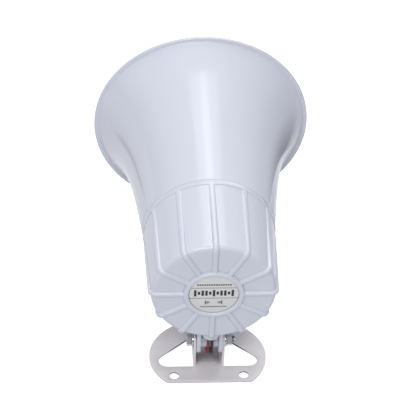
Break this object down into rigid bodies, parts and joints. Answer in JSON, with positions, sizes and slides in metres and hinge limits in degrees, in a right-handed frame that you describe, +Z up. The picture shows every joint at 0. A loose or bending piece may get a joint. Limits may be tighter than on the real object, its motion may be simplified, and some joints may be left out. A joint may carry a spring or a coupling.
{
  "type": "alarm siren",
  "caption": "Electronic horn siren with a flared bell, a ribbed rear cover and a folded steel bracket that it tilts on.",
  "frame": {"origin": "on the bracket's mounting face, straight below the tilt pivot", "axes": "+Z up out of the mounting face, +Y along the horn from the rear cover to the mouth"},
  "size_m": [0.15, 0.1756, 0.1565],
  "materials": {
    "white_plastic": "glossy moulded white ABS with a cool tint",
    "label_foil": "satin silver foil with dark print",
    "stainless": "satin rolled sheet",
    "zinc_steel": "bright zinc plate",
    "ferrite": "dull ground ferrite",
    "black_rubber": "matte rubber",
    "phenolic": "resin-coated cloth",
    "copper": "enamelled copper wire",
    "board_green": "solder mask",
    "chip_black": "moulded epoxy",
    "sleeve_blue": "shrink sleeve",
    "aluminium": "plain aluminium",
    "red_pvc": "wire insulation",
    "black_pvc": "wire insulation"
  },
  "bodies": {
    "mount": {"bracket": "stainless", "pivot_bolt": "zinc_steel", "washer_left": "zinc_steel", "washer_right": "zinc_steel", "pivot_nut": "zinc_steel"},
    "siren": {"rear_cover": "white_plastic", "label_disc": "label_foil", "cable_grommet": "black_rubber", "cover_seal": "black_rubber", "horn_bell": "white_plastic", "throat_tube": "white_plastic", "reflector": "white_plastic", "driver_yoke": "zinc_steel", "driver_magnet": "ferrite", "driver_top_plate": "zinc_steel", "diaphragm_frame": "aluminium", "driver_gasket": "black_rubber", "driver_screw_1": "zinc_steel", "driver_screw_2": "zinc_steel", "driver_screw_3": "zinc_steel", "driver_screw_4": "zinc_steel", "cover_screw_1": "zinc_steel", "cover_screw_2": "zinc_steel", "cover_screw_3": "zinc_steel", "cover_screw_4": "zinc_steel", "circuit_board": "board_green", "tone_chip": "chip_black", "capacitor": "sleeve_blue", "heat_sink": "aluminium", "power_transistor": "chip_black", "coupling_coil": "copper", "board_screw_1": "zinc_steel", "board_screw_2": "zinc_steel", "board_screw_3": "zinc_steel", "lead_wire_red": "red_pvc", "lead_wire_black": "black_pvc", "wire_end_red": "zinc_steel", "wire_end_black": "zinc_steel", "coil_lead_red": "red_pvc", "coil_lead_black": "black_pvc"},
    "dome": {"diaphragm": "phenolic", "voice_coil": "copper"}
  },
  "joints": [
    {"name": "tilt", "type": "hinge", "parent": "mount", "child": "siren", "pos_m": [0, 0, 0.0215], "axis": [1, 0, 0], "range_deg": [-2, 85]},
    {"name": "diaphragm_travel", "type": "slide", "parent": "siren", "child": "dome", "axis": [0, 1, 0], "range_m": [-0.0003, 0.0003], "stiffness_N_per_m": 500}
  ]
}
